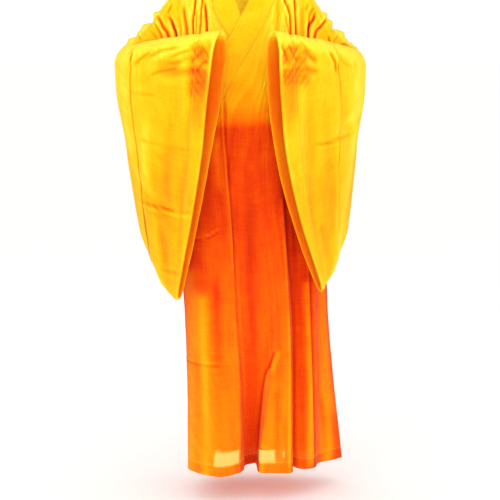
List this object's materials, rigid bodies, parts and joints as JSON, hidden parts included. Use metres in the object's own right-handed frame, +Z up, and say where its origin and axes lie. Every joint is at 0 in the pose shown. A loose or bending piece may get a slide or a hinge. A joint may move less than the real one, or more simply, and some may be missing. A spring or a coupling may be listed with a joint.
{
  "type": "buddhist monk robe",
  "caption": "Full-length saffron robe with a cross-over neck band and very wide sleeves, worn with the arms bent across the front",
  "frame": {"origin": "on the body's middle line, level with the sides of the neck, where the worn robe hangs from the shoulders", "axes": "+Z up along the robe, -Y the way the wearer faces, +X the wearer's left"},
  "size_m": [0.6469, 0.4538, 1.3539],
  "materials": {
    "orange_cloth": "sheer plain-weave cotton, matt",
    "yellow_cloth": "sheer plain-weave cotton, matt"
  },
  "bodies": {
    "root": {"front_over": "orange_cloth", "front_under": "orange_cloth", "back": "orange_cloth", "collar": "yellow_cloth", "upper_sleeve_right": "yellow_cloth", "upper_sleeve_left": "yellow_cloth", "sleeve_right": "yellow_cloth", "sleeve_left": "yellow_cloth", "cuff_band_right": "yellow_cloth", "cuff_band_left": "yellow_cloth"}
  },
  "joints": []
}
